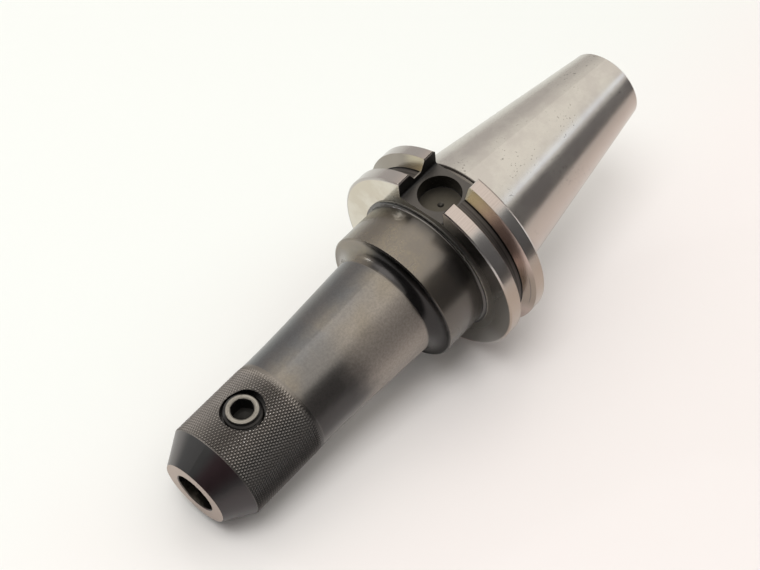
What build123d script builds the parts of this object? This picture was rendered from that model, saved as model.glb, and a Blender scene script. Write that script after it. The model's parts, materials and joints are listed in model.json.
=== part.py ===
from build123d import *
import math
import os

# Side lock end mill holder with a 40 size spindle taper, in millimetres.
# Stations are measured along the spindle axis from the gage line: negative on the taper,
# positive towards the nose. Heights are measured from the axis towards the upper drive slot.
# The holder lies on a flat bench, on the two edges of its lower drive slot and on its nose.

# Spindle taper
gage_diameter = 44.45
taper_rate = 7 / 24                # loss of diameter for each millimetre of length
shank_length = 68.25
shank_end_chamfer = 0.8
neck_diameter = 43.4
neck_chamfer = 0.5

# Hole for the retention knob in the small end
knob_pilot_diameter = 16.3
knob_pilot_depth = 4.8
knob_mouth_chamfer = 1.0
knob_thread_diameter = 15.875
knob_hole_depth = 36.0
knob_drill_angle = 118

# Flange with its gripper groove
flange_diameter = 63.5
flange_rear = 3.18
flange_front = 19.05
rear_rim_chamfer = 0.75
front_rim_chamfer = 0.4
groove_centre = 11.11
groove_mouth = 7.06
groove_depth = 3.57
groove_flank_angle = 30

# Drive slots, one above and one below the axis
slot_width = 16.1
slot_depth = 6.75
slot_floor_radius = 0.8
slot_edge_break = 0.5

# Balance pocket in the floor of the upper slot
pocket_diameter = 13.0
pocket_depth = 5.2
pocket_dimple_diameter = 2.0
pocket_dimple_angle = 118

# Collar in front of the flange, with a thin ring at its root
root_ring_diameter = 46.6
root_ring_height = 0.5
root_fillet = 0.7
collar_diameter = 44.45
collar_end = 35.0
collar_edge_break = 0.4
collar_front_fillet = 4.0

# Barrel, knurled band and cone
barrel_rear_diameter = 34.9        # where the barrel's taper meets the plane of the collar's end
barrel_front_diameter = 31.4
barrel_blend_reach = 8.0           # half the length of the blend from the taper to the straight front
barrel_straight_length = 1.5       # from the blend to the knurl
knurl_start = 81.5
knurl_crest_diameter = 31.75
knurl_depth = 0.35                 # from crest to root; the solid stops at the roots
nose_edge = 107.8                  # where the cone meets the knurl's crests
nose_face = 116.5
face_diameter = 21.1

# Tool bore
bore_diameter = 12.7
bore_depth = 54.0
bore_mouth_chamfer = 0.3
bore_drill_angle = 118

# Side lock screw and its hole
screw_from_face = 22.1
screw_diameter = 11.11
screw_length = 9.2
screw_top_height = 15.65
screw_radial_clearance = 0.05
screw_top_chamfer = 0.95
screw_point_diameter = 8.4
screw_point_chamfer = 1.0
socket_across_flats = 6.0
socket_depth = 5.6
socket_mouth_chamfer = 0.35
recess_diameter = 12.8
recess_floor_height = 12.4

# Radii worked out from the diameters
gage_radius = gage_diameter / 2
flange_radius = flange_diameter / 2
groove_floor_radius = flange_radius - groove_depth
slot_floor_height = flange_radius - slot_depth
collar_radius = collar_diameter / 2
knurl_crest_radius = knurl_crest_diameter / 2
knurl_root_radius = knurl_crest_radius - knurl_depth
face_radius = face_diameter / 2


def taper_radius(station):
    """Radius of the spindle taper at a station."""
    return gage_radius + station * taper_rate / 2


# The bench touches the front rim at the corners of the lower slot, and the nose at its edge
slot_mouth_half_width = slot_width / 2 + slot_edge_break
rim_contact_station = flange_front - front_rim_chamfer
rim_contact_height = math.sqrt(flange_radius**2 - slot_mouth_half_width**2)
rest_tilt = math.atan2(rim_contact_height - knurl_crest_radius, nose_edge - rim_contact_station)
bench_drop = rim_contact_height * math.cos(rest_tilt) + rim_contact_station * math.sin(rest_tilt)

# The origin is on the bench, under the middle of the holder's length
shank_end_radius = taper_radius(-shank_length) - shank_end_chamfer
rear_reach = shank_length * math.cos(rest_tilt) + shank_end_radius * math.sin(rest_tilt)
front_reach = nose_face * math.cos(rest_tilt) + face_radius * math.sin(rest_tilt)

toward_nose = Vector(math.cos(rest_tilt), 0, -math.sin(rest_tilt))
toward_slot = Vector(math.sin(rest_tilt), 0, math.cos(rest_tilt))
gage_centre = Vector((rear_reach - front_reach) / 2, 0, bench_drop)
spindle_axis = Axis(gage_centre, toward_nose)
profile_plane = Plane(origin=gage_centre, x_dir=toward_nose, z_dir=(0, -1, 0))


def cross_plane(station, facing=1):
    """Plane across the axis at a station, facing the nose (1) or the small end (-1)."""
    return Plane(gage_centre + toward_nose * station, x_dir=(0, facing, 0), z_dir=toward_nose * facing)


def slot_plane(station, height):
    """Plane parallel to the slot floors, at a station and a height, facing the upper slot."""
    origin = gage_centre + toward_nose * station + toward_slot * height
    return Plane(origin, x_dir=toward_nose, z_dir=toward_slot)


# Turned outline, from the small end to the nose
groove_floor_half = groove_mouth / 2 - groove_depth * math.tan(math.radians(groove_flank_angle))
cone_share = knurl_depth / (knurl_crest_radius - face_radius)
cone_start = nose_edge + cone_share * (nose_face - nose_edge)
shank_chamfer_station = shank_end_chamfer - shank_length
collar_root = (flange_front + root_ring_height, collar_radius)
collar_front_corner = (collar_end, barrel_rear_diameter / 2)
barrel_taper_end = knurl_start - barrel_straight_length - barrel_blend_reach
barrel_slope = (barrel_rear_diameter - barrel_front_diameter) / 2 / (barrel_taper_end - collar_end)

# The barrel's taper and its straight front would meet at the middle point of their blend
barrel_blend = [
    (barrel_taper_end - barrel_blend_reach, barrel_front_diameter / 2 + barrel_slope * barrel_blend_reach),
    (barrel_taper_end, barrel_front_diameter / 2),
    (barrel_taper_end + barrel_blend_reach, barrel_front_diameter / 2),
]

rear_outline = [
    (-shank_length, 0),
    (-shank_length, shank_end_radius),
    (shank_chamfer_station, taper_radius(shank_chamfer_station)),
    (0, gage_radius),
    (neck_chamfer, neck_diameter / 2),
    (flange_rear, neck_diameter / 2),
    (flange_rear, flange_radius - rear_rim_chamfer),
    (flange_rear + rear_rim_chamfer, flange_radius),
    (groove_centre - groove_mouth / 2, flange_radius),
    (groove_centre - groove_floor_half, groove_floor_radius),
    (groove_centre + groove_floor_half, groove_floor_radius),
    (groove_centre + groove_mouth / 2, flange_radius),
    (rim_contact_station, flange_radius),
    (flange_front, flange_radius - front_rim_chamfer),
    (flange_front, root_ring_diameter / 2),
    (flange_front + root_ring_height, root_ring_diameter / 2),
    collar_root,
    (collar_end - collar_edge_break, collar_radius),
    (collar_end, collar_radius - collar_edge_break),
    collar_front_corner,
    barrel_blend[0],
]
front_outline = [
    barrel_blend[-1],
    (knurl_start, barrel_front_diameter / 2),
    (knurl_start, knurl_root_radius),
    (cone_start, knurl_root_radius),
    (nose_face, face_radius),
    (nose_face, 0),
    rear_outline[0],
]

screw_station = nose_face - screw_from_face
pocket_floor_height = slot_floor_height - pocket_depth
pocket_dimple_depth = pocket_dimple_diameter / 2 / math.tan(math.radians(pocket_dimple_angle / 2))
screw_hole_diameter = screw_diameter + 2 * screw_radial_clearance
knob_point_depth = knob_thread_diameter / 2 / math.tan(math.radians(knob_drill_angle / 2))
bore_point_depth = bore_diameter / 2 / math.tan(math.radians(bore_drill_angle / 2))

with BuildPart() as holder_body:
    with BuildSketch(profile_plane) as turned_profile:
        with BuildLine():
            Polyline(*rear_outline)
            Bezier(*barrel_blend)
            Polyline(*front_outline)
        make_face()
        fillet(turned_profile.vertices().sort_by_distance(collar_root)[0], root_fillet)
        fillet(turned_profile.vertices().sort_by_distance(collar_front_corner)[0], collar_front_fillet)
    revolve(axis=spindle_axis)

    # Drive slots, with their long outer edges broken
    slot_break_height = rim_contact_height - slot_edge_break
    slot_cut_top = flange_radius + slot_edge_break
    slot_cut_half_top = slot_width / 2 + slot_cut_top - slot_break_height
    with BuildSketch(cross_plane(flange_rear)) as slot_profile:
        with BuildLine():
            Polyline(
                (-slot_width / 2, slot_floor_height),
                (slot_width / 2, slot_floor_height),
                (slot_width / 2, slot_break_height),
                (slot_cut_half_top, slot_cut_top),
                (-slot_cut_half_top, slot_cut_top),
                (-slot_width / 2, slot_break_height),
                close=True,
            )
        make_face()
        fillet(slot_profile.vertices().group_by(Axis.Y)[0], slot_floor_radius)
        mirror(about=Plane.XZ)
    extrude(amount=flange_front - flange_rear, mode=Mode.SUBTRACT)

    # Balance pocket with the point of its drill
    with BuildSketch(slot_plane(groove_centre, pocket_floor_height)):
        Circle(pocket_diameter / 2)
    extrude(amount=flange_radius - pocket_floor_height, mode=Mode.SUBTRACT)
    with BuildSketch(profile_plane):
        with BuildLine():
            Polyline(
                (groove_centre, pocket_floor_height - pocket_dimple_depth),
                (groove_centre + pocket_dimple_diameter / 2, pocket_floor_height),
                (groove_centre, pocket_floor_height),
                close=True,
            )
        make_face()
    revolve(axis=Axis(slot_plane(groove_centre, 0).origin, toward_slot), mode=Mode.SUBTRACT)

    # Hole for the retention knob: chamfered mouth, plain pilot, thread at its nominal size
    with BuildSketch(profile_plane):
        with BuildLine():
            Polyline(
                (-shank_length, 0),
                (-shank_length, knob_pilot_diameter / 2 + knob_mouth_chamfer),
                (knob_mouth_chamfer - shank_length, knob_pilot_diameter / 2),
                (knob_pilot_depth - shank_length, knob_pilot_diameter / 2),
                (knob_pilot_depth - shank_length, knob_thread_diameter / 2),
                (knob_hole_depth - shank_length, knob_thread_diameter / 2),
                (knob_hole_depth - shank_length + knob_point_depth, 0),
                close=True,
            )
        make_face()
    revolve(axis=spindle_axis, mode=Mode.SUBTRACT)

    # Tool bore, blind, with its drill point
    with BuildSketch(profile_plane):
        with BuildLine():
            Polyline(
                (nose_face, 0),
                (nose_face, bore_diameter / 2 + bore_mouth_chamfer),
                (nose_face - bore_mouth_chamfer, bore_diameter / 2),
                (nose_face - bore_depth, bore_diameter / 2),
                (nose_face - bore_depth - bore_point_depth, 0),
                close=True,
            )
        make_face()
    revolve(axis=spindle_axis, mode=Mode.SUBTRACT)

    # Side lock hole: recess in the knurled band, then the screw's hole into the bore
    with BuildSketch(slot_plane(screw_station, recess_floor_height)):
        Circle(recess_diameter / 2)
    extrude(amount=knurl_crest_diameter - recess_floor_height, mode=Mode.SUBTRACT)
    with BuildSketch(slot_plane(screw_station, 0)):
        Circle(screw_hole_diameter / 2)
    extrude(amount=knurl_crest_diameter, mode=Mode.SUBTRACT)

holder_body.part.label = "holder_body"

with BuildPart() as side_lock_screw:
    screw_point_height = screw_top_height - screw_length
    with BuildSketch(slot_plane(screw_station, screw_point_height)):
        Circle(screw_diameter / 2)
    extrude(amount=screw_length)
    chamfer(side_lock_screw.edges().filter_by(GeomType.CIRCLE).sort_by(Axis.Z)[-1], screw_top_chamfer)
    chamfer(
        side_lock_screw.edges().filter_by(GeomType.CIRCLE).sort_by(Axis.Z)[0],
        screw_point_chamfer,
        (screw_diameter - screw_point_diameter) / 2,
    )
    with BuildSketch(slot_plane(screw_station, screw_top_height)):
        RegularPolygon(socket_across_flats / 2, 6, major_radius=False)
    extrude(amount=-socket_depth, mode=Mode.SUBTRACT)

    # Cone that breaks the socket's mouth
    socket_mouth_radius = socket_across_flats / 2 + socket_mouth_chamfer
    with BuildSketch(profile_plane):
        with BuildLine():
            Polyline(
                (screw_station, screw_top_height - socket_mouth_radius),
                (screw_station + socket_mouth_radius, screw_top_height),
                (screw_station, screw_top_height),
                close=True,
            )
        make_face()
    revolve(axis=Axis(slot_plane(screw_station, 0).origin, toward_slot), mode=Mode.SUBTRACT)

side_lock_screw.part.label = "side_lock_screw"

os.makedirs("parts", exist_ok=True)
export_step(holder_body.part, "parts/holder_body.step")
export_step(side_lock_screw.part, "parts/side_lock_screw.step")
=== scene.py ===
import json
import math

import bmesh
import bpy
from mathutils import Matrix, Vector


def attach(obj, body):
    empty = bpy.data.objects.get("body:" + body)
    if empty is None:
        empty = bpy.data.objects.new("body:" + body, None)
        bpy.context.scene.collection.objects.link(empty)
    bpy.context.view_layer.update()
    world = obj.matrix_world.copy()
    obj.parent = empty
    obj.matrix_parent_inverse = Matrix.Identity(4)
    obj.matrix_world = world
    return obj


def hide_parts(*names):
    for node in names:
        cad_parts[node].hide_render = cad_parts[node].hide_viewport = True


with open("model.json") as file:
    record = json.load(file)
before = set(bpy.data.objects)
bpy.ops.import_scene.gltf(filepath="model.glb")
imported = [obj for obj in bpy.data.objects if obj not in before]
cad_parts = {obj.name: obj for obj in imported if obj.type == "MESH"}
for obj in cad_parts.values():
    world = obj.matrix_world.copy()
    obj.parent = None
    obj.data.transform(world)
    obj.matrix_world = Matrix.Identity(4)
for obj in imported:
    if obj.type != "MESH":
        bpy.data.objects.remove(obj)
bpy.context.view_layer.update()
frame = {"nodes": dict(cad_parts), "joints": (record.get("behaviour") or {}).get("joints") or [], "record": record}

# The dressed side lock end mill holder. Sizes are in millimetres and become metres through MM.
# Stations run along the spindle axis from the gage line: negative on the taper, positive to the nose.
# Heights run from the axis towards the upper drive slot, which is also the way the lock screw faces.
MM = 0.001

mounts = {mount["name"]: mount for mount in frame["record"]["mounts"]}
gage_centre = Vector(mounts["spindle_taper"]["pos_m"])
toward_nose = -Vector(mounts["spindle_taper"]["axis"])
toward_slot = Vector(frame["joints"][0]["axis"])
to_the_side = toward_slot.cross(toward_nose)

# Spindle taper and flange
gage_radius = 22.225
taper_rate = 7 / 24
shank_length = 68.25
shank_end_chamfer = 0.8
neck_end = 3.18
flange_radius = 31.75
flange_front = 19.05
rear_rim_chamfer = 0.75
groove_rear = 7.58
groove_front = 14.64
groove_floor_radius = 28.18
groove_floor_rear = 9.64
scuff_radius = 30.7                    # a dark scuff on the near side of the groove's flanks
root_ring_radius = 23.3
root_ring_height = 0.5
face_root_radius = 25.3                # the front face is painted darker brown from its root out to here, a painted reflection of the collar

# Drive slots, and the balance pocket in the floor of the upper one
slot_half_width = 8.05
slot_floor_height = 25.0
slot_edge_break = 0.5
pocket_station = 11.11
pocket_radius = 6.5
pocket_floor_height = 19.8
pocket_mark_radius = 0.8               # a dark mark in the middle of the pocket's floor

# Collar, barrel and nose
collar_radius = 22.225
collar_end = 35.0
collar_front_fillet = 4.0
knurl_start = 81.5
knurl_crest_radius = 15.875
knurl_root_radius = 15.53
knurl_teeth = 105
knurl_helix = math.radians(30)
knurl_fade = 3.0                       # how far the knurl runs before its teeth are full
knurl_lead_in = 0.4                    # how far the knurl's first row reaches under the barrel behind it
knurl_dip = 0.06                       # how deep that row dips
knurl_bed = 0.25                       # how thick the band of knurl is under its grooves
nose_edge = 107.8
nose_face = 116.5
face_radius = 10.55
cone_run = (nose_face - nose_edge) / (knurl_crest_radius - face_radius)
bore_radius = mounts["tool_bore"]["dims"]["r_mm"]

# Side lock screw: a 7/16 inch fine thread with a hex socket
screw_station = 94.4
screw_recess_radius = 6.4
screw_recess_floor = 12.4
screw_top = 15.65
screw_length = 9.2
screw_crest_radius = 5.555
screw_root_radius = 4.87
screw_pitch = 1.27
screw_top_radius = 4.6
screw_top_break = (0.08, 0.12)         # the edge round its top is broken by so much down and in
screw_point_radius = 4.2
screw_point_height = 1.0
screw_ring_radius = 3.6                # where the bright ring on its top begins
ring_groove_radius = 4.015             # a fine groove turned in that ring
ring_groove_depth = 0.05
ring_groove_mouth = 0.135              # half its width at the top
ring_groove_floor = 0.065              # half its width at the bottom
socket_flats = 6.0
socket_mouth_chamfer = 0.35
socket_depth = 4.6
socket_drill_radius = 2.72
socket_drill_depth = 5.4
socket_drill_tip = 1.1

# Retention knob thread, 5/8 inch coarse
knob_pilot_depth = 4.8
knob_major_radius = mounts["knob_thread"]["dims"]["r_mm"]
knob_minor_radius = 6.76
knob_pitch = 2.309
knob_thread_length = mounts["knob_thread"]["dims"]["length_mm"]
knob_ridge_bite = 0.05                 # how far the ridges reach into the wall round them
knob_ridge_foot = 0.1                  # how far the end ridges stand in before they slope
knob_tap_gap = 0.03                    # how far the cut between the ridges stays inside the wall
knob_mouth_radius = 9.1                # the finish of the hole and its mouth ends at this radius
knob_hole_end = -30                    # and at this station

# Where wear and painted shade begin or end, in stations
collar_root_shade_end = 20
collar_shade_end = 25.5
barrel_rub_end = 56
barrel_shade_start = 60
barrel_handled_end = 63

# Edges, in every finish
edge_rounding = 0.12                   # radius to which the looks round off each sharp edge
edge_wear_width = 0.14                 # how far bright wear reaches from a sharp edge
skin = 0.05                            # how far a finish's mask reaches past the edge of its surface

# Dull screen and mat on the camera's side: azimuths and elevations in degrees, distances in metres
screen_left = -62
screen_right = 156
screen_step = 2
screen_rows = 8
screen_height = 50
screen_rise = 55                       # degrees along the left over which it gains that height
screen_drop = 25
screen_drop_start = 112
screen_drop_width = 32
screen_distance = 1.3
mat_left = -40
mat_rise = 60
mat_right = 120
mat_fall = 30
mat_fall_share = 0.4
mat_distance = 0.26
screen_clearness = 0.25                # the share of soft light that passes through it


class Turning:
    """An axis that things are turned about: where station 0 is, its direction, and where angle 0 points."""

    def __init__(self, origin, along, zero):
        self.origin = origin
        self.along = along
        self.zero = zero
        self.quarter = zero.cross(along)

    def point(self, station, radius, angle=0.0):
        """The place at a station, a radius and an angle."""
        out = self.zero * math.cos(angle) + self.quarter * math.sin(angle)
        return self.origin + (self.along * station + out * radius) * MM

    def station(self, point):
        """The station of a place."""
        return (point - self.origin).dot(self.along) / MM


spindle = Turning(gage_centre, toward_nose, toward_slot)
screw_axis = Turning(spindle.point(screw_station, 0), toward_slot, -toward_nose)


def cone_station(radius):
    """Station at which the nose cone has a radius."""
    return nose_edge + (knurl_crest_radius - radius) * cone_run


def smooth(share):
    """A smooth step from 0 to 1 as the share goes from 0 to 1."""
    share = min(max(share, 0), 1)
    return share * share * (3 - 2 * share)


def add_object(name, data):
    """Links a mesh, a lamp or a camera into the scene as an object."""
    made = bpy.data.objects.new(name, data)
    bpy.context.scene.collection.objects.link(made)
    return made


def finished_mesh(name, shape):
    """Turns a bmesh into a mesh with its faces pointing outwards."""
    bmesh.ops.recalc_face_normals(shape, faces=shape.faces)
    mesh = bpy.data.meshes.new(name)
    shape.to_mesh(mesh)
    shape.free()
    return mesh


def lathe(axis, outline, segments=192, ring=False):
    """A turned solid from (station, radius) points. A ring's outline closes on itself, clear of the axis."""
    shape = bmesh.new()
    circles = []
    for station, radius in outline:
        count = segments if radius else 1
        angles = [2 * math.pi * step / segments for step in range(count)]
        circles.append([shape.verts.new(axis.point(station, radius, angle)) for angle in angles])
    far_circles = circles[1:] + (circles[:1] if ring else [])
    for near, far in zip(circles, far_circles):
        for step in range(segments):
            after = step + 1
            corners = (
                near[step % len(near)],
                near[after % len(near)],
                far[after % len(far)],
                far[step % len(far)],
            )
            shape.faces.new(dict.fromkeys(corners))
    return finished_mesh("turned", shape)


def plug(axis, low, high, radius, segments=192):
    """A plain cylinder between two stations, or a prism where it has few segments."""
    return lathe(axis, [(low, 0), (low, radius), (high, radius), (high, 0)], segments)


def close_ends(axis, shape, low, high):
    """Closes an open sleeve with a cone of faces at each end, drawn to points on its axis."""
    middle = (low + high) / 2
    low_tip = shape.verts.new(axis.point(low, 0))
    high_tip = shape.verts.new(axis.point(high, 0))
    for edge in [edge for edge in shape.edges if edge.is_boundary]:
        station = axis.station((edge.verts[0].co + edge.verts[1].co) / 2)
        shape.faces.new((*edge.verts, high_tip if station > middle else low_tip))


def threaded_rod(axis, low, high, pitch, crest_radius, root_radius, segments=96):
    """A length of 60 degree screw thread with flat crests and roots."""
    flank = (crest_radius - root_radius) * math.tan(math.radians(30)) / pitch
    root_flat = (1 - 2 * flank) * 0.6
    crest_flat = 1 - 2 * flank - root_flat
    profile = (
        (0, root_radius),
        (root_flat, root_radius),
        (root_flat + flank, crest_radius),
        (root_flat + flank + crest_flat, crest_radius),
    )
    shape = bmesh.new()
    turns = math.ceil((high - low) / pitch) + 1
    rows = []
    for step in range(turns * segments + 1):
        angle = 2 * math.pi * step / segments
        start = low + pitch * (step / segments - 1)
        places = [axis.point(start + share * pitch, radius, angle) for share, radius in profile]
        rows.append([shape.verts.new(place) for place in places])
    for step in range(turns * segments):
        here, beside = rows[step], rows[step + 1]
        for near, far in zip(range(3), range(1, 4)):
            shape.faces.new((here[near], beside[near], beside[far], here[far]))
        if step + segments + 1 < len(rows):
            above, above_beside = rows[step + segments], rows[step + segments + 1]
            shape.faces.new((here[3], beside[3], above_beside[0], above[0]))
    close_ends(axis, shape, low - 3 * pitch, high + 3 * pitch)
    return finished_mesh("thread", shape)


def combine(base, operation, tool):
    """The mesh left when a base mesh is cut by, or kept within, a tool mesh."""
    base_object = add_object("base", base)
    tool_object = add_object("tool", tool)
    modifier = base_object.modifiers.new("cut", "BOOLEAN")
    modifier.operation = operation
    modifier.solver = "MANIFOLD"
    modifier.object = tool_object
    depsgraph = bpy.context.evaluated_depsgraph_get()
    mesh = bpy.data.meshes.new_from_object(base_object.evaluated_get(depsgraph))
    bpy.data.objects.remove(base_object)
    bpy.data.objects.remove(tool_object)
    mesh.materials.clear()
    return mesh


class Value:
    """A node's output. Arithmetic on it adds Math nodes to the same tree."""

    def __init__(self, nodes, output):
        self.nodes = nodes
        self.output = output

    def maths(self, operation, *values):
        """Adds one Math node."""
        return self.nodes.add("ShaderNodeMath", {"operation": operation}, dict(enumerate(values)))

    def __add__(self, other):
        return self.maths("ADD", self, other)

    def __sub__(self, other):
        return self.maths("SUBTRACT", self, other)

    def __rsub__(self, other):
        return self.maths("SUBTRACT", other, self)

    def __mul__(self, other):
        return self.maths("MULTIPLY", self, other)

    def __truediv__(self, other):
        return self.maths("DIVIDE", self, other)

    def __rtruediv__(self, other):
        return self.maths("DIVIDE", other, self)

    def __abs__(self):
        return self.maths("ABSOLUTE", self)

    def root(self):
        """The square root."""
        return self.maths("SQRT", self)

    def most(self, other):
        """The larger of two values."""
        return self.maths("MAXIMUM", self, other)

    def turn_from(self, other):
        """The angle in radians at which this value is the sine's side and the other the cosine's."""
        return self.maths("ARCTAN2", self, other)

    __radd__ = __add__
    __rmul__ = __mul__


class Nodes:
    """A node tree that is filled by method calls."""

    def __init__(self, tree):
        self.tree = tree

    def add(self, kind, settings, inputs, output=0):
        """Adds a node: its settings first, then the values or links of its sockets."""
        node = self.tree.nodes.new(kind)
        for name, setting in settings.items():
            setattr(node, name, setting)
        for socket, value in inputs.items():
            self.put(node.inputs[socket], value)
        return Value(self, node.outputs[output])

    def put(self, socket, value):
        """Links a varying value to a socket, or sets a plain one on it."""
        if isinstance(value, Value):
            self.tree.links.new(value.output, socket)
        else:
            socket.default_value = value

    def rise(self, value, start, width):
        """0 until the value reaches start, then a smooth rise to 1 over the width."""
        sockets = {"Value": value, "From Min": start, "From Max": start + width}
        return self.add("ShaderNodeMapRange", {"interpolation_type": "SMOOTHSTEP"}, sockets)

    def fall(self, value, start, width):
        """1 until the value reaches start, then a smooth fall to 0 over the width."""
        return 1 - self.rise(value, start, width)

    def band(self, value, low, high, soft=0.05):
        """1 between low and high, with soft edges."""
        return self.rise(value, low - soft / 2, soft) * self.fall(value, high - soft / 2, soft)

    def colour(self, mask, under, over):
        """One colour laid over another where the mask is 1."""
        sockets = {"Factor": mask, 6: under, 7: over}
        return self.add("ShaderNodeMix", {"data_type": "RGBA"}, sockets, output=2)

    def layered(self, base, *layers):
        """Colours laid over a base one after another, each where its mask is 1."""
        for mask, over in layers:
            base = self.colour(mask, base, over)
        return base

    def vector(self, operation, first, second, output=0):
        """Adds one Vector Math node."""
        return self.add("ShaderNodeVectorMath", {"operation": operation}, {0: first, 1: second}, output)

    def part(self, vector, axis):
        """One coordinate of a vector."""
        return self.add("ShaderNodeSeparateXYZ", {}, {"Vector": vector}, output=axis)

    def lines(self, along, scale, detail=2.0):
        """Fine parallel lines of uneven strength, across the direction in which the value grows."""
        sockets = {"W": along, "Scale": scale, "Detail": detail, "Roughness": 0.6}
        return self.add("ShaderNodeTexNoise", {"noise_dimensions": "1D"}, sockets)


class Surface(Nodes):
    """The nodes of a new material."""

    def __init__(self, name):
        self.material = bpy.data.materials.new(name)
        self.material.use_nodes = True
        super().__init__(self.material.node_tree)
        self.shader = self.tree.nodes["Principled BSDF"]
        self.place = self.add("ShaderNodeTexCoord", {}, {}, output="Object")

    def feed(self, socket, value):
        """Sets or links one of the shader's sockets."""
        self.put(self.shader.inputs[socket], value)

    def clouds(self, scale, detail=2.0, roughness=0.5):
        """Cloudy noise over the surface, about so many clouds to the metre."""
        sockets = {"Vector": self.place, "Scale": scale, "Detail": detail, "Roughness": roughness}
        return self.add("ShaderNodeTexNoise", {}, sockets)


class Finish(Surface):
    """A metal finish, with the holder's own measures in millimetres as values to build masks from."""

    def __init__(self, name):
        super().__init__(name)
        self.feed("Metallic", 1.0)
        from_gage = self.vector("SUBTRACT", self.place, gage_centre)
        self.station = self.vector("DOT_PRODUCT", from_gage, toward_nose / MM, output="Value")
        self.height = self.vector("DOT_PRODUCT", from_gage, toward_slot / MM, output="Value")
        self.side = self.vector("DOT_PRODUCT", from_gage, to_the_side / MM, output="Value")
        self.radius = (self.height * self.height + self.side * self.side).root()
        self.around = self.side / self.radius          # -1 on the far side, 0 on top, 1 on the near side
        self.upward = self.height / self.radius        # 1 on top, 0 at the sides, -1 underneath

    def stretch(self, low, high):
        """1 from one station to another, and a skin past both."""
        return self.band(self.station, low - skin, high + skin)

    def from_hole(self, station):
        """Distance from an axis that crosses the spindle axis at a station, towards the upper slot."""
        along = self.station - station
        return (along * along + self.side * self.side).root()

    def rounded(self, edge_radius):
        """The surface's normal with its edges rounded off."""
        return self.add("ShaderNodeBevel", {"samples": 6}, {"Radius": edge_radius * MM})

    def worn_edges(self, width):
        """1 along sharp edges, from how far the rounded normal turns from the true one."""
        true_normal = self.add("ShaderNodeNewGeometry", {}, {}, output="True Normal")
        agreement = self.vector("DOT_PRODUCT", self.rounded(width), true_normal, output="Value")
        return self.fall(agreement, 0.80, 0.17)

    def apply(self, colour, roughness, relief):
        """Feeds the shader: base colour, roughness, and relief in millimetres as a bump."""
        self.feed("Base Color", colour)
        self.feed("Roughness", roughness)
        smoothed = self.rounded(edge_rounding)
        sockets = {"Height": relief, "Distance": MM, "Strength": 1.0, "Normal": smoothed}
        self.feed("Normal", self.add("ShaderNodeBump", {}, sockets))
        return self.material


# Bright steel: taper, rims, groove, nose face, slot and worn edges
ground_steel = (0.62, 0.595, 0.55, 1)
smudged_steel = (0.565, 0.535, 0.50, 1)
taper_warm_reflection = (0.50, 0.435, 0.39, 1)
speck_oxide = (0.12, 0.11, 0.10, 1)
neck_steel = (0.18, 0.165, 0.15, 1)
rim_steel = (0.60, 0.525, 0.485, 1)
rim_hatch = (0.42, 0.37, 0.345, 1)
rim_far_reflection = (0.48, 0.45, 0.43, 1)
rim_cool_reflection = (0.66, 0.65, 0.64, 1)
rim_near_shade = (0.41, 0.34, 0.285, 1)
flank_far_shade = (0.29, 0.26, 0.225, 1)
straw_steel = (0.57, 0.51, 0.39, 1)
flank_brown = (0.58, 0.475, 0.43, 1)
flank_near_shade = (0.32, 0.27, 0.23, 1)
face_steel = (0.44, 0.345, 0.295, 1)
face_dark = (0.32, 0.255, 0.21, 1)
mirror_steel = (0.66, 0.63, 0.55, 1)
mirror_smudge = (0.50, 0.44, 0.34, 1)
mirror_painted_shade = (0.36, 0.35, 0.335, 1)
mirror_painted_dark = (0.20, 0.19, 0.17, 1)
milled_steel = (0.085, 0.08, 0.076, 1)
milled_light = (0.145, 0.135, 0.125, 1)
edge_steel = (0.74, 0.69, 0.62, 1)
bore_steel = (0.24, 0.21, 0.18, 1)
bore_dark = (0.05, 0.043, 0.04, 1)

# Black oxide on the flange, the collar, the barrel and the nose
corner_black = (0.01, 0.01, 0.01, 1)
hole_oxide = (0.045, 0.044, 0.044, 1)
pocket_oxide = (0.06, 0.057, 0.05, 1)
pocket_light = (0.145, 0.130, 0.105, 1)
groove_line = (0.065, 0.058, 0.054, 1)
groove_oxide = (0.13, 0.118, 0.11, 1)
fillet_painted_shade = (0.05, 0.048, 0.048, 1)
deep_oxide = (0.088, 0.088, 0.09, 1)
cone_pale_reflection = (0.16, 0.15, 0.15, 1)
cone_red_reflection = (0.10, 0.068, 0.076, 1)
cone_painted_shade = (0.078, 0.072, 0.074, 1)
# painted shade for the barrel's near side, a painted dark reflection
painted_shade_oxide = (0.075, 0.072, 0.072, 1)
fresh_oxide_and_shade = (0.085, 0.082, 0.08, 1)
black_oxide = (0.165, 0.168, 0.174, 1)
worn_oxide = (0.19, 0.182, 0.178, 1)
collar_oxide = (0.215, 0.195, 0.175, 1)
bronze_oxide = (0.31, 0.268, 0.20, 1)
rubbed_oxide = (0.335, 0.302, 0.265, 1)
handled_oxide = (0.44, 0.40, 0.365, 1)
knurl_oxide = (0.085, 0.082, 0.08, 1)
knurl_grey = (0.15, 0.14, 0.132, 1)
knurl_worn = (0.46, 0.42, 0.39, 1)

# Lock screw and knob thread
socket_black = (0.055, 0.053, 0.05, 1)
screw_oxide = (0.05, 0.048, 0.047, 1)
ring_dark = (0.11, 0.103, 0.093, 1)
ring_steel = (0.19, 0.178, 0.158, 1)
ring_bright = (0.36, 0.34, 0.305, 1)
thread_dark = (0.16, 0.15, 0.14, 1)
thread_steel = (0.36, 0.335, 0.30, 1)

# Paper, dull screen and room
paper_white = (0.87, 0.905, 0.896, 1)
paper_warm = (0.90, 0.866, 0.868, 1)
screen_grey = (0.15, 0.147, 0.15, 1)
screen_pale = (0.29, 0.287, 0.30, 1)
room_low = (0.64, 0.61, 0.58, 1)
room_high = (1.08, 1.035, 0.965, 1)


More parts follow.
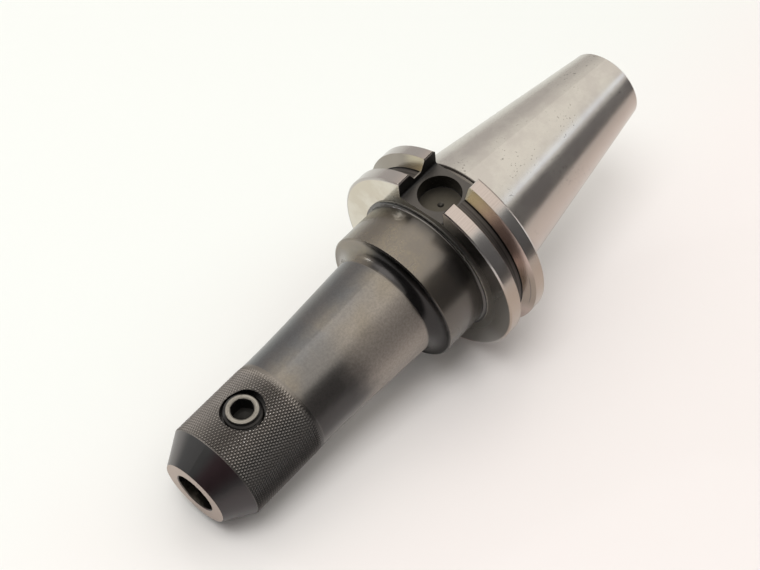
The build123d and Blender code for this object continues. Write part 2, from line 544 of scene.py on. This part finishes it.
def flange_zones(steel):
    """Masks for the flange: its rims, gripper groove, drive slots and front face with the root ring."""
    station, radius = steel.station, steel.radius
    height, side = abs(steel.height), abs(steel.side)
    flange = steel.stretch(neck_end, flange_front)
    beside_slot = steel.rise(side, slot_half_width + skin, skin)
    slot = flange * (1 - beside_slot) * steel.rise(height, slot_floor_height - 2 * skin, skin)
    off_slot = flange * (1 - slot)
    at_slot_edge = steel.fall(side, slot_half_width + slot_edge_break, skin)
    groove = steel.stretch(groove_rear, groove_front) * off_slot
    groove_floor = steel.band(radius, groove_floor_radius - 2 * skin, groove_floor_radius + 2 * skin)
    groove_foot = steel.band(station, groove_floor_rear - 0.1, groove_floor_rear + 0.35)
    past_ring = steel.rise(radius, root_ring_radius - skin, skin)
    ring_front = flange_front + root_ring_height
    return {
        "rims": off_slot * steel.rise(radius, flange_radius - rear_rim_chamfer, skin) * (1 - groove),
        "groove_flank": groove * steel.rise(radius, groove_floor_radius + skin, skin),
        "groove_floor": groove * groove_floor,
        "groove_corner": groove * groove_foot * steel.fall(radius, groove_floor_radius + 0.2, skin),
        "slot": slot,
        "slot_floor": slot * steel.fall(side, slot_half_width - 1.0, 0.5),
        "slot_edge": off_slot * at_slot_edge * steel.rise(height, slot_floor_height, 1),
        "front_face": steel.stretch(flange_front, flange_front) * past_ring * (1 - slot),
        "root_ring": steel.band(station, flange_front + 0.15, ring_front + skin) * past_ring,
    }


def turned_zones(steel):
    """Masks for the taper, the collar, the barrel, the nose cone and the nose ring."""
    station, radius = steel.station, steel.radius
    past_chamfer = steel.rise(steel.above_taper, -shank_end_chamfer, skin)
    fillet_end = collar_end + collar_front_fillet
    return {
        "taper": steel.fall(station, neck_end - 2 * skin, skin) * past_chamfer,
        "collar": steel.band(station, flange_front + root_ring_height, fillet_end, 0.5),
        "fillet": steel.band(station, collar_end - 0.3, fillet_end, 0.4),
        "barrel": steel.band(station, fillet_end, knurl_start + skin, 1.5),
        "cone": steel.rise(station, nose_edge - 0.2, 0.4),
        "nose_ring": steel.rise(station, nose_face - skin, skin / 2) * steel.rise(radius, bore_radius, skin),
    }


def hole_zones(steel):
    """Masks for the tool bore, the knob's hole, the screw's recess and the balance pocket."""
    station, radius = steel.station, steel.radius
    deep_in_shank = steel.fall(steel.above_taper, -3, 0.1) * steel.fall(station, knob_hole_end, 1)
    from_screw = steel.from_hole(screw_station)
    from_pocket = steel.from_hole(pocket_station)
    under_slot_floor = steel.fall(steel.height, slot_floor_height - 2 * skin, skin)
    pocket = steel.stretch(neck_end, flange_front) * under_slot_floor
    pocket = pocket * steel.rise(steel.height, pocket_floor_height - 1, 0.5)
    wall_start = pocket_radius - 3 * skin
    return {
        "bore": steel.fall(radius, bore_radius + skin, skin) * steel.rise(station, neck_end, 1),
        "knob_hole": deep_in_shank * steel.fall(radius, knob_mouth_radius, 0.1),
        "recess": steel.fall(from_screw, screw_recess_radius + skin, skin) * steel.rise(steel.height, 0, 1),
        "pocket": pocket * steel.fall(from_pocket, wall_start, skin),
        "pocket_wall": pocket * steel.band(from_pocket, wall_start, pocket_radius + 2 * skin),
        "pocket_mark": pocket * steel.fall(from_pocket, pocket_mark_radius, 0.25),
    }


def edge_zones(steel):
    """Masks round the edges that hands and tools have worn bright."""
    station, radius = steel.station, steel.radius
    rim_edges = steel.stretch(neck_end, flange_front) * steel.rise(radius, flange_radius - 1, 0.3)
    collar_lip = steel.band(station, collar_end - 1, collar_end + 0.1)
    collar_lip = collar_lip * steel.rise(radius, collar_radius - 0.8, 0.2)
    return {
        "handled_edges": rim_edges.most(collar_lip),
        "nose_edges": steel.rise(station, nose_face - 0.5, 0.1) * steel.rise(radius, bore_radius, skin),
    }


class HolderFinish(Finish):
    """The holder's own finish: its zones, and the marks that more than one of its looks needs."""

    def __init__(self, name):
        super().__init__(name)
        self.above_taper = self.radius - (self.station * (taper_rate / 2) + gage_radius)
        zone = {**flange_zones(self), **turned_zones(self), **hole_zones(self), **edge_zones(self)}
        self.zone = zone
        self.cut = zone["taper"].most(zone["rims"]).most(zone["groove_flank"])

        self.patches = self.rise(self.clouds(55.0, 3.0, 0.6), 0.40, 0.25)
        self.mottle = self.rise(self.clouds(1500.0, 4.0, 0.75), 0.3, 0.4)
        self.smudges = self.clouds(90.0, 4.0, 0.65)
        self.blotches = self.rise(self.smudges, 0.38, 0.22)
        self.facing = self.lines(self.radius, 7.0, 3.0)
        along_rim = self.side.turn_from(self.height) * flange_radius
        self.hatching = self.rise(self.lines(along_rim, 4.2), 0.3, 0.4)

        self.near_side = self.rise(self.around, 0.78, 0.2)
        self.near_strip = self.rise(self.around, 0.92, 0.07)
        handled = self.fall(self.station + self.smudges * 12, barrel_handled_end, 14)
        handled = handled * self.rise(self.around, 0.3, 0.4) * (1 - self.near_strip * 0.4)
        self.handled = zone["barrel"] * handled
        # the root of the front face, where a dark reflection of the collar is painted
        face_root_shade = self.fall(self.radius, face_root_radius, 1) * self.rise(self.around, -0.55, 0.2)
        self.face_root_shade = zone["front_face"] * face_root_shade


def taper_colour(steel):
    """Ground steel with smudges and specks, a browner painted reflection on the near side, and a darker neck."""
    specks = steel.rise(steel.clouds(1300.0), 0.63, 0.06) * steel.rise(steel.smudges, 0.52, 0.08)
    return steel.layered(
        smudged_steel,
        (steel.blotches, ground_steel),
        # painted reflection of the warm paper on the near side
        (steel.near_side, taper_warm_reflection),
        (specks * 0.55, speck_oxide),
        (steel.rise(steel.station, -0.4, 0.3), neck_steel),
    )


def rim_colour(steel):
    """Hatched steel, with painted reflections: greyer on the far side, cooler towards the near side, and brown
    painted shade on it.
    """
    return steel.layered(
        rim_steel,
        (steel.hatching * 0.5, rim_hatch),
        # painted reflections and painted shade on the sides
        (steel.fall(steel.around, -0.4, 0.2), rim_far_reflection),
        (steel.rise(steel.around, 0.5, 0.12), rim_cool_reflection),
        (steel.near_side, rim_near_shade),
    )


def flank_colour(steel):
    """Straw to brown steel on the gripper groove's flanks, shaded by side as painted reflection, with a scuff on
    the near side.
    """
    scuff = steel.band(steel.radius + steel.smudges, scuff_radius, scuff_radius + 0.2, 0.2)
    scuff = scuff * steel.rise(steel.around, 0.97, 0.02)
    return steel.layered(
        straw_steel,
        # painted reflections: browner towards the near side, painted shade on the near strip and the far side
        (steel.rise(steel.around, 0.3, 0.4), flank_brown),
        (steel.near_strip, flank_near_shade),
        (steel.fall(steel.around, -0.55, 0.2), flank_far_shade),
        (scuff * 0.7, speck_oxide),
    )


def groove_floor_colour(steel):
    """Oxide with the tool's feed lines."""
    feed_lines = steel.rise(steel.lines(steel.station, 2.0), 0.35, 0.3)
    return steel.colour(feed_lines, groove_line, groove_oxide)


def front_face_colour(steel):
    """Mirror steel with smudges, with painted shade past the top, and a darker painted reflection on the near side
    and at its root.
    """
    return steel.layered(
        mirror_steel,
        (steel.blotches * 0.5, mirror_smudge),
        # painted shade past the top, and a painted dark reflection on the near side and at the root
        (steel.rise(steel.around, 0, 0.4), mirror_painted_shade),
        (steel.near_side.most(steel.face_root_shade * 0.6), mirror_painted_dark),
    )


def root_ring_colour(steel):
    """Oxide, with a painted highlight along the near side."""
    # painted highlight along the near side
    return steel.colour(0.75 * steel.rise(steel.around, 0.62, 0.25), fresh_oxide_and_shade, edge_steel)


def collar_colour(steel):
    """Bronzed oxide, with painted shade beside the flange, at the root and on the near side, darkest in the front
    fillet.
    """
    shade_beside_flange = steel.fall(steel.station + steel.smudges * 4, collar_shade_end, 5)
    shade_beside_flange = shade_beside_flange * steel.rise(steel.around, 0.35, 0.3)
    shade_at_root = steel.fall(steel.station, collar_root_shade_end, 5)
    near = steel.rise(steel.around, 0.8, 0.15)
    return steel.layered(
        collar_oxide,
        (steel.mottle * steel.patches * 0.7, bronze_oxide),
        # painted shade: darker beside the flange, at the root and on the near side
        ((shade_beside_flange * 0.75).most(shade_at_root * 0.85).most(near * 0.65), fresh_oxide_and_shade),
        # painted shade, darkest in the concave front fillet
        (steel.zone["fillet"] * steel.rise(steel.around, -0.45, 0.35), fillet_painted_shade),
    )


def barrel_layers(steel):
    """What wear and handling lay over the barrel's oxide, and painted shade on its near side, as masks and
    colours.
    """
    barrel = steel.zone["barrel"]
    rubbed = steel.rise(steel.around, -0.25, 0.7) * (1 - steel.rise(steel.station, barrel_rub_end, 12) * 0.65)
    # painted shade: the near side towards the knurl is darkened, a painted dark reflection
    shaded = steel.rise(steel.station + steel.smudges * 8, barrel_shade_start, 12)
    shaded = shaded * steel.rise(steel.around, 0.78, 0.14) * steel.rise(steel.upward, -0.4, 0.5)
    bronzed = steel.patches * steel.band(steel.around, -0.2, 0.6, 0.4)
    return (
        (barrel * rubbed, rubbed_oxide),
        (steel.handled, handled_oxide),
        (barrel * shaded, painted_shade_oxide),
        (barrel * bronzed * 0.4, bronze_oxide),
        (barrel * (1 - steel.mottle) * 0.3, fresh_oxide_and_shade),
    )


def cone_colour(steel):
    """Deep oxide, with painted reflections: paler on the far side, a reddish stretch, and painted shade on the
    near side.
    """
    return steel.layered(
        deep_oxide,
        # painted reflections by side: paler far side, a reddish stretch, and painted shade on the near side
        (steel.fall(steel.around, -0.65, 0.3), cone_pale_reflection),
        (steel.band(steel.around, 0.25, 0.7, 0.3), cone_red_reflection),
        (steel.rise(steel.around, 0.7, 0.2), cone_painted_shade),
    )


def holder_colour(steel):
    """Black oxide, then each surface's own colour over it, and bright worn edges last."""
    zone = steel.zone
    smudges = steel.smudges
    dark_holes = zone["recess"].most(zone["pocket_wall"]).most(zone["pocket_mark"] * 0.6)
    edges = (zone["handled_edges"] * smudges * 0.7).most(zone["nose_edges"] * 0.9)
    return steel.layered(
        black_oxide,
        (steel.patches, worn_oxide),
        (zone["collar"], collar_colour(steel)),
        *barrel_layers(steel),
        (zone["cone"], cone_colour(steel)),
        (zone["groove_flank"], flank_colour(steel)),
        (zone["groove_floor"], groove_floor_colour(steel)),
        (zone["groove_corner"], corner_black),
        (zone["front_face"], front_face_colour(steel)),
        (zone["slot"], hole_oxide),
        (zone["slot_floor"], steel.colour(smudges, milled_steel, milled_light)),
        (zone["taper"], taper_colour(steel)),
        (zone["rims"], rim_colour(steel)),
        (zone["nose_ring"], steel.colour(steel.facing * 0.6 + smudges * 0.4, face_dark, face_steel)),
        (zone["root_ring"], root_ring_colour(steel)),
        (zone["slot_edge"] * steel.fall(steel.around, 0, 0.05) * 0.4, edge_steel),
        (zone["knob_hole"], bore_steel),
        (zone["bore"], steel.colour(steel.rise(smudges, 0.5, 0.12), bore_dark, bore_steel)),
        (zone["pocket"], steel.colour(smudges, pocket_oxide, pocket_light)),
        (dark_holes, hole_oxide),
        (steel.worn_edges(edge_wear_width) * edges, edge_steel),
    )


def holder_roughness(steel):
    """A satin oxide, smoother where it is cut or ground and duller where it is milled or handled."""
    zone = steel.zone
    changes = (
        (steel.patches, 0.04),
        (zone["slot"].most(zone["groove_floor"]).most(zone["pocket"]), 0.22),
        (steel.handled, 0.32),
        (zone["barrel"], 0.05),
        (zone["rims"], -0.03),
        (zone["front_face"], -0.12),
        (steel.face_root_shade, 0.25),
        (zone["root_ring"], 0.35),
        (zone["fillet"], -0.02),
        (zone["cone"], 0.08),
    )
    satin = 0.24 - steel.cut * (0.08 - steel.smudges * 0.10)
    return sum((mask * change for mask, change in changes), satin)


def holder_relief(steel):
    """Turning lines all round, facing lines on the flat rings, hatched rims, and the oxide's grain."""
    zone = steel.zone
    line_depth = 0.0006 + steel.cut * 0.0003
    grain_depth = 0.0008
    flat = zone["nose_ring"].most(zone["front_face"])
    turning = steel.lines(steel.station, 5.5, 3.0)
    lines = turning * (1 - flat) + steel.facing * flat + steel.hatching * zone["rims"]
    grain = steel.clouds(2600.0, 2.0, 0.7) * (1 - steel.cut)
    return (lines * line_depth + grain * grain_depth) * (1 - zone["fillet"] * 0.6)


def holder_finish():
    """Black oxide all over, with the taper, the rims, the groove's flanks and the nose face cut bright."""
    steel = HolderFinish("holder_oxide_and_ground_steel")
    return steel.apply(holder_colour(steel), holder_roughness(steel), holder_relief(steel))


def knurl_finish():
    """Oxide in the grooves, rubbed back to brown-grey metal on the crests, with painted shade on the near side."""
    steel = Finish("knurl_oxide")
    middle = (knurl_crest_radius + knurl_root_radius) / 2
    cone_radius = knurl_crest_radius - (steel.station - nose_edge) / cone_run
    trimmed = steel.rise(steel.radius - cone_radius, -0.02, 0.01)
    crest = steel.rise(steel.radius, middle + 0.01, 0.14).most(trimmed * 0.4)
    wear = steel.clouds(220.0, 3.0, 0.6)
    # painted shade: darker on the near side, where the crests are also less bright
    near = steel.rise(steel.around, 0.4, 0.35)
    rubbed = steel.fall(steel.station, knurl_start + 0.5, 4) * steel.band(steel.around, -0.9, 0.6, 0.5)
    handled = steel.band(steel.around, -0.3, 0.6, 0.5) * 0.8 + 0.75 * wear
    colour = steel.layered(
        knurl_grey,
        (near, knurl_oxide),
        (rubbed * 0.4, rubbed_oxide),
        (crest * handled * (1 - near * 0.45), knurl_worn),
    )
    relief = steel.clouds(3000.0, 2.0, 0.6) * 0.001
    return steel.apply(colour, 0.36 - crest * 0.08, relief)


def screw_finish():
    """Black screw with a bright ring turned on its top and a darker step inside it."""
    steel = Finish("screw_black_and_bright_ring")
    across = steel.from_hole(screw_station)
    top = steel.rise(steel.height, screw_top - 0.16, 0.04)
    ring = top * steel.rise(across, screw_ring_radius, 0.1)
    step = top * steel.rise(across, socket_flats / 2 + 0.2, 0.1)
    inside = steel.fall(across, socket_flats / 2 + 0.5, skin) * steel.fall(steel.height, screw_top - 1.0, 0.7)
    rings = steel.lines(across, 6.0)
    chips = steel.rise(steel.clouds(800.0, 3.0), 0.52, 0.1)
    colour = steel.layered(
        screw_oxide,
        (step, steel.colour(rings, ring_dark, ring_steel)),
        (ring, steel.colour(rings * (1 - chips * 0.7), ring_steel, ring_bright)),
        (inside, socket_black),
    )
    return steel.apply(colour, 0.34 - ring * 0.06 + inside * 0.3, rings * 0.0008)


def knob_thread_finish():
    """Dark cut steel of the thread in the small end."""
    steel = Finish("knob_thread_steel")
    wear = steel.clouds(400.0, 3.0, 0.6)
    colour = steel.colour(wear, thread_dark, thread_steel)
    return steel.apply(colour, 0.34 + wear * 0.1, steel.lines(steel.radius, 8.0) * 0.001)


def add_knurl_cell(shape, corners):
    """Faces between four corners of the knurl. A cell with one raised corner is split from that one."""
    points = [vertex for vertex, raised in corners]
    peaks = [place for place in range(4) if corners[place][1]]
    if len(peaks) == 1:
        points = points[peaks[0]:] + points[:peaks[0]]
        shape.faces.new(points[:3])
        shape.faces.new((points[0], points[2], points[3]))
    else:
        shape.faces.new(points)


def knurled_rod(axis, low, high):
    """A rod covered with raised diamonds, left between two crossing sets of helical grooves."""
    tooth_pitch = 2 * math.pi * knurl_crest_radius / knurl_teeth
    axial_pitch = tooth_pitch / math.tan(knurl_helix)
    depth = knurl_crest_radius - knurl_root_radius
    groove_lines = (0, 0.43, 0.57)         # groove floor, then the two sides of the crest
    count = len(groove_lines)
    steps = ((0, 0), (1, 0), (1, 1), (0, 1))
    shape = bmesh.new()
    lattice = {}

    def corner(first, second):
        """The lattice point of one line from each set, shared wherever the lattice closes on itself."""
        lap = (first + second) // (2 * knurl_teeth * count)
        first -= lap * knurl_teeth * count
        second -= lap * knurl_teeth * count
        if (first, second) not in lattice:
            left = first // count + groove_lines[first % count]
            right = second // count + groove_lines[second % count]
            station = low + (left - right) / 2 * axial_pitch
            raised = first % count and second % count
            swell = (depth / 2 if raised else -depth / 2) * smooth((station - knurl_start) / knurl_fade)
            dip = knurl_dip * smooth((knurl_start - station) / knurl_lead_in)
            radius = knurl_crest_radius - depth / 2 + swell - dip
            angle = math.pi * (left + right) / knurl_teeth
            lattice[first, second] = (shape.verts.new(axis.point(station, radius, angle)), raised)
        return lattice[first, second]

    for row in range(math.ceil(2 * (high - low) / axial_pitch)):
        for tooth in range(knurl_teeth):
            across = row % 2 + 2 * tooth
            left, right = (across + row) // 2 * count, (across - row) // 2 * count
            for first in range(left, left + count):
                for second in range(right, right + count):
                    add_knurl_cell(shape, [corner(first + a, second + b) for a, b in steps])
    close_ends(axis, shape, low - axial_pitch, high + 2 * axial_pitch)
    return finished_mesh("knurled_rod", shape)


def knurled_band():
    """The knurl on the nose: trimmed to the cone in front, faded behind, and open at the screw's recess."""
    inner_radius = knurl_root_radius - knurl_bed
    clear_radius = knurl_crest_radius + 1
    band_start = knurl_start - knurl_lead_in
    cone_root = cone_station(knurl_root_radius)
    rod = knurled_rod(spindle, knurl_start - 2, cone_root + 2)
    blank = lathe(
        spindle,
        [
            (band_start, inner_radius),
            (band_start, clear_radius),
            (cone_station(clear_radius), clear_radius),
            (cone_root, knurl_root_radius),
            (cone_root - 0.02, inner_radius),
        ],
        segments=360,
        ring=True,
    )
    above_knurl = 20
    recess = plug(screw_axis, screw_recess_floor, above_knurl, screw_recess_radius + 0.01)
    band = combine(combine(rod, "INTERSECT", blank), "DIFFERENCE", recess)
    piece = add_object("knurled_band", band)
    band.materials.append(knurl_finish())
    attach(piece, "holder")
    return piece


def screw_blank():
    """The lock screw's outline: point, body, chamfered top and the fine groove in its bright ring."""
    point = screw_top - screw_length
    break_depth, break_width = screw_top_break
    groove_bottom = screw_top - ring_groove_depth
    return lathe(
        screw_axis,
        [
            (point, 0),
            (point, screw_point_radius),
            (point + screw_point_height, screw_crest_radius),
            (screw_top - screw_crest_radius + screw_top_radius, screw_crest_radius),
            (screw_top - break_depth, screw_top_radius),
            (screw_top, screw_top_radius - break_width),
            (screw_top, ring_groove_radius + ring_groove_mouth),
            (groove_bottom, ring_groove_radius + ring_groove_floor),
            (groove_bottom, ring_groove_radius - ring_groove_floor),
            (screw_top, ring_groove_radius - ring_groove_mouth),
            (screw_top, 0),
        ],
    )


def socket_tools():
    """What cuts the lock screw's socket: the hexagon, its 45 degree mouth and the drill."""
    corner_radius = socket_flats / 2 / math.cos(math.radians(30))
    hexagon = plug(screw_axis, screw_top - socket_depth, screw_top + 1, corner_radius, segments=6)
    mouth_radius = socket_flats / 2 + socket_mouth_chamfer
    mouth_tip = screw_top - mouth_radius
    mouth_start = 2
    above_top = 0.5
    mouth = lathe(
        screw_axis,
        [
            (mouth_tip + mouth_start, 0),
            (mouth_tip + mouth_start, mouth_start),
            (screw_top + above_top, mouth_radius + above_top),
            (screw_top + above_top, 0),
        ],
    )
    drill_end = screw_top - socket_drill_depth
    drill = lathe(
        screw_axis,
        [
            (drill_end, 0),
            (drill_end + socket_drill_tip, socket_drill_radius),
            (screw_top, socket_drill_radius),
            (screw_top, 0),
        ],
        segments=48,
    )
    return hexagon, mouth, drill


def lock_screw():
    """The side lock screw, with its thread, chamfers, turned top ring and hex socket."""
    rod = threaded_rod(
        screw_axis,
        screw_top - screw_length - 1,
        screw_top + 1,
        screw_pitch,
        screw_crest_radius,
        screw_root_radius,
    )
    screw = combine(rod, "INTERSECT", screw_blank())
    for tool in socket_tools():
        screw = combine(screw, "DIFFERENCE", tool)
    piece = add_object("lock_screw_threaded", screw)
    screw.materials.append(screw_finish())
    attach(piece, "lock_screw")
    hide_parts("side_lock_screw")
    return piece


def knob_thread():
    """The retention knob's thread, as ridges that stand in from the wall of its hole."""
    start = knob_pilot_depth - shank_length
    end = start + knob_thread_length
    outer = knob_major_radius + knob_ridge_bite
    foot = knob_major_radius - knob_ridge_foot
    bevel = knob_major_radius - knob_minor_radius
    blank = lathe(
        spindle,
        [
            (start + 0.02, outer),
            (start + 0.02, foot),
            (start + bevel, knob_minor_radius),
            (end - bevel, knob_minor_radius),
            (end, foot),
            (end, outer),
        ],
        ring=True,
    )
    tap = threaded_rod(
        spindle,
        start - 3,
        end + 3,
        knob_pitch,
        knob_major_radius - knob_tap_gap,
        knob_minor_radius - 0.1,
    )
    ridges = combine(blank, "DIFFERENCE", tap)
    piece = add_object("knob_thread_ridges", ridges)
    ridges.materials.append(knob_thread_finish())
    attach(piece, "holder")
    return piece


def place_camera():
    """The photograph's viewpoint: a long lens that looks down along the holder, with a slight roll."""
    place = Vector((0.25610, 0.20021, 0.38531))
    aim = Vector((0.016158, 0, 0.037539))
    roll = math.radians(2.19)
    data = bpy.data.cameras.new("camera")
    data.lens = 77.93
    data.clip_start = 0.01
    camera = add_object("camera", data)
    turn = (aim - place).to_track_quat("-Z", "Y").to_matrix().to_4x4() @ Matrix.Rotation(roll, 4, "Z")
    camera.matrix_world = Matrix.Translation(place) @ turn
    bpy.context.scene.camera = camera


def paper_material():
    """White paper with a slight gloss, a little warmer on the camera's side of the holder."""
    paper = Surface("white_paper")
    toward_camera = paper.part(paper.place, "Y")
    warmth = paper.rise(toward_camera + paper.clouds(6.0) * 0.1, -0.02, 0.12)
    paper.feed("Base Color", paper.colour(warmth, paper_white, paper_warm))
    paper.feed("Roughness", 0.3)
    return paper.material


def lay_floor():
    """A sheet of white paper that runs far past the view."""
    reach = 4.0
    corners = [(-reach, -reach, 0), (reach, -reach, 0), (reach, reach, 0), (-reach, reach, 0)]
    mesh = bpy.data.meshes.new("paper")
    mesh.from_pydata(corners, [], [(0, 1, 2, 3)])
    mesh.materials.append(paper_material())
    add_object("paper", mesh)


def direction(azimuth, elevation):
    """A unit vector; azimuth is counted from +X towards +Y, in degrees."""
    a, e = math.radians(azimuth), math.radians(elevation)
    return Vector((math.cos(a) * math.cos(e), math.sin(a) * math.cos(e), math.sin(e)))


def soft_lamp(name, azimuth, elevation, distance, size, radiance, colour):
    """A rectangular soft lamp of a given brightness, turned to the middle of the bench."""
    way = direction(azimuth, elevation)
    width, height = size
    data = bpy.data.lights.new(name, "AREA")
    data.shape = "RECTANGLE"
    data.size = width
    data.size_y = height
    data.energy = radiance * math.pi * width * height
    data.color = colour
    lamp = add_object(name, data)
    lamp.location = way * distance
    lamp.rotation_mode = "QUATERNION"
    lamp.rotation_quaternion = (-way).to_track_quat("-Z", "Y")
    return lamp


def hang_lamps():
    """A ceiling lamp for the paper, an overhead sheen, a window on the right, a small lamp on the left."""
    ceiling = soft_lamp("ceiling", 10, 72, 1.3, size=(0.6, 0.6), radiance=5.4, colour=(1.0, 0.985, 0.97))
    ceiling.visible_glossy = False         # the metal doesn't mirror it
    overhead = soft_lamp("overhead", -35, 62, 1.2, size=(0.9, 0.9), radiance=1.3, colour=(1.0, 0.98, 0.95))
    overhead.visible_diffuse = False       # the paper gets no soft light from it
    soft_lamp("window", 146, 36, 1.5, size=(0.36, 0.16), radiance=0.95, colour=(0.62, 0.76, 1.0))
    soft_lamp("small_lamp", -62.5, 26.6, 1.0, size=(0.045, 0.045), radiance=60.0, colour=(0.9, 0.95, 1.0))


def pale_room():
    """Surroundings that are pale at the level of the bench and brighten overhead."""
    world = bpy.data.worlds.new("pale_room")
    world.use_nodes = True
    bpy.context.scene.world = world
    room = Nodes(world.node_tree)
    way = room.add("ShaderNodeTexCoord", {}, {}, output="Generated")
    upward = room.rise(room.part(way, "Z"), 0.35, 0.5)
    background = world.node_tree.nodes["Background"]
    room.put(background.inputs["Color"], room.colour(upward, room_low, room_high))
    world.cycles.sampling_method = "NONE"


def screen_top(azimuth):
    """Elevation of the dull screen's top edge: it rises on the left, runs level, and drops on the right."""
    rising = smooth((azimuth - screen_left) / screen_rise)
    dropping = smooth((azimuth - screen_drop_start) / screen_drop_width)
    return screen_height * rising - screen_drop * dropping


def mat_edge(azimuth):
    """How near the holder the mat's edge comes along the bench: nearest in front of the camera."""
    falling = mat_fall_share * smooth((azimuth - mat_right) / mat_fall)
    nearness = smooth((azimuth - mat_left) / mat_rise) * (1 - falling)
    return screen_distance - (screen_distance - mat_distance) * nearness


def screen_material():
    """Dull grey, paler far behind the taper's small end, and a little see-through to soft light."""
    screen = Surface("dull_screen")
    forward = screen.part(screen.place, "X")
    screen.feed("Base Color", screen.colour(screen.fall(forward, -1.0, 0.35), screen_grey, screen_pale))
    screen.feed("Roughness", 1.0)
    soft_light = screen.add("ShaderNodeLightPath", {}, {}, output="Is Diffuse Ray")
    clear = screen.add("ShaderNodeBsdfTransparent", {}, {})
    grey = Value(screen, screen.shader.outputs[0])
    mixed = screen.add("ShaderNodeMixShader", {}, {0: soft_light * screen_clearness, 1: grey, 2: clear})
    screen.put(screen.tree.nodes["Material Output"].inputs["Surface"], mixed)
    return screen.material


def dull_surface(name, columns, material):
    """A surface through columns of points, out of the camera's own sight."""
    points = len(columns[0])
    faces = []
    for column in range(len(columns) - 1):
        for row in range(points - 1):
            near = column * points + row
            far = near + points
            faces.append((near, far, far + 1, near + 1))
    mesh = bpy.data.meshes.new(name)
    mesh.from_pydata([point for column in columns for point in column], [], faces)
    mesh.materials.append(material)
    surface = add_object(name, mesh)
    surface.visible_camera = False
    surface.visible_shadow = False
    return surface


def dull_screen():
    """A dull curved screen on the camera's side of the holder, with a dull mat before its foot as a painted
    reflection of shaded paper.
    """
    lift = Vector((0, 0, 1)) * MM
    screen = []
    mat = []
    for azimuth in range(screen_left, screen_right + 1, screen_step):
        rises = [screen_top(azimuth) * row / screen_rows for row in range(screen_rows + 1)]
        column = [direction(azimuth, rise) * screen_distance + lift for rise in rises]
        screen.append(column)
        mat.append([direction(azimuth, 0) * mat_edge(azimuth) + lift, column[0]])
    material = screen_material()
    dull_surface("dull_screen", screen, material)
    shaded_paper_mat = dull_surface("dull_mat", mat, material)
    shaded_paper_mat.visible_diffuse = False      # a painted reflection of shaded paper: only the metal sees it, so the paper under it stays pale


place_camera()
lay_floor()
pale_room()
hang_lamps()
dull_screen()

holder = frame["nodes"]["holder_body"]
holder.data.materials.clear()
holder.data.materials.append(holder_finish())
knurled_band()
knob_thread()
lock_screw()

bpy.context.scene.view_settings.view_transform = "Standard"
